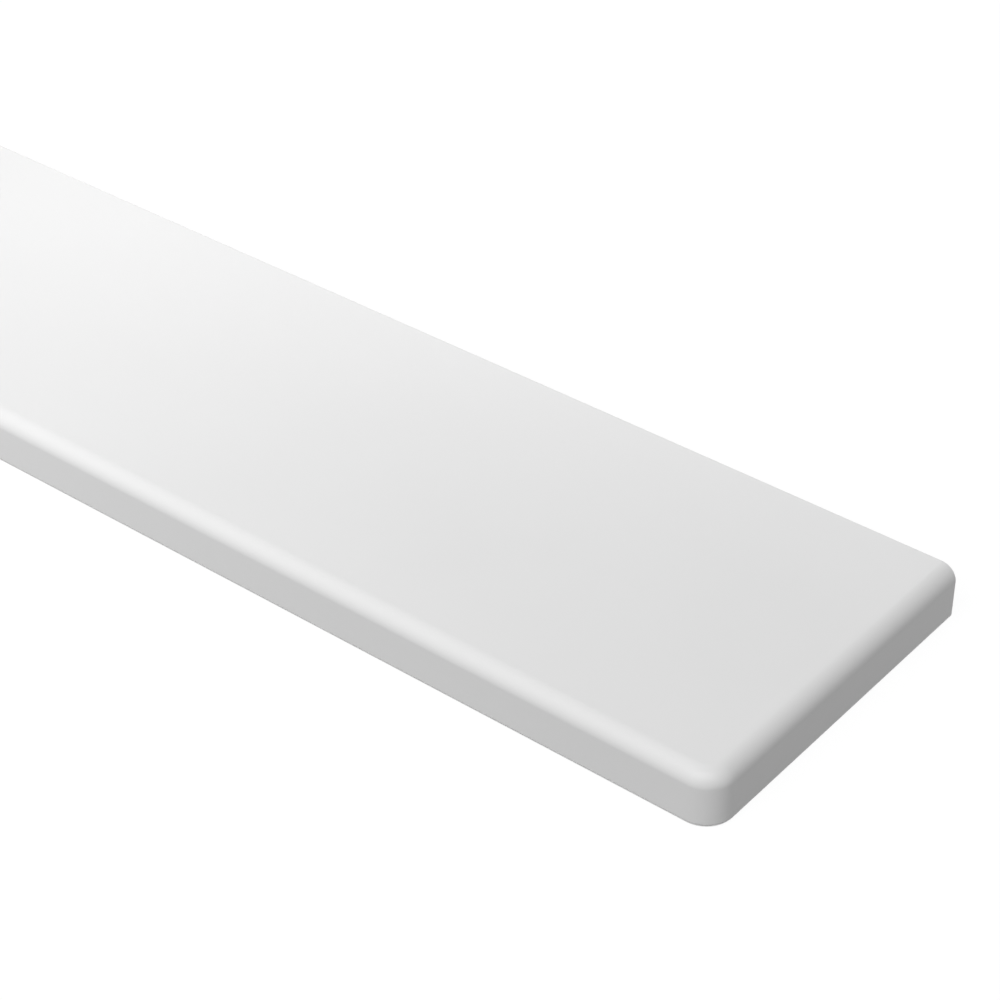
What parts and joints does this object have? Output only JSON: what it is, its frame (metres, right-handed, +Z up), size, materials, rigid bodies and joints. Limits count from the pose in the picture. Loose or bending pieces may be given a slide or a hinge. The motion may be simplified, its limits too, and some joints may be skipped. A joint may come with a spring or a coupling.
{
  "type": "window sill board",
  "caption": "Flat white window sill board with a rounded nosing along the front and both ends, rounded front corners and a square back edge, to lie on the wall below a window.",
  "frame": {"origin": "centre of the underside", "axes": "+X along the board, +Y from the room towards the window, +Z up"},
  "size_m": [1, 0.145, 0.022],
  "materials": {
    "white_lacquer": "satin white lacquer on smooth fibreboard"
  },
  "bodies": {
    "root": {"sill_board": "white_lacquer"}
  },
  "joints": []
}
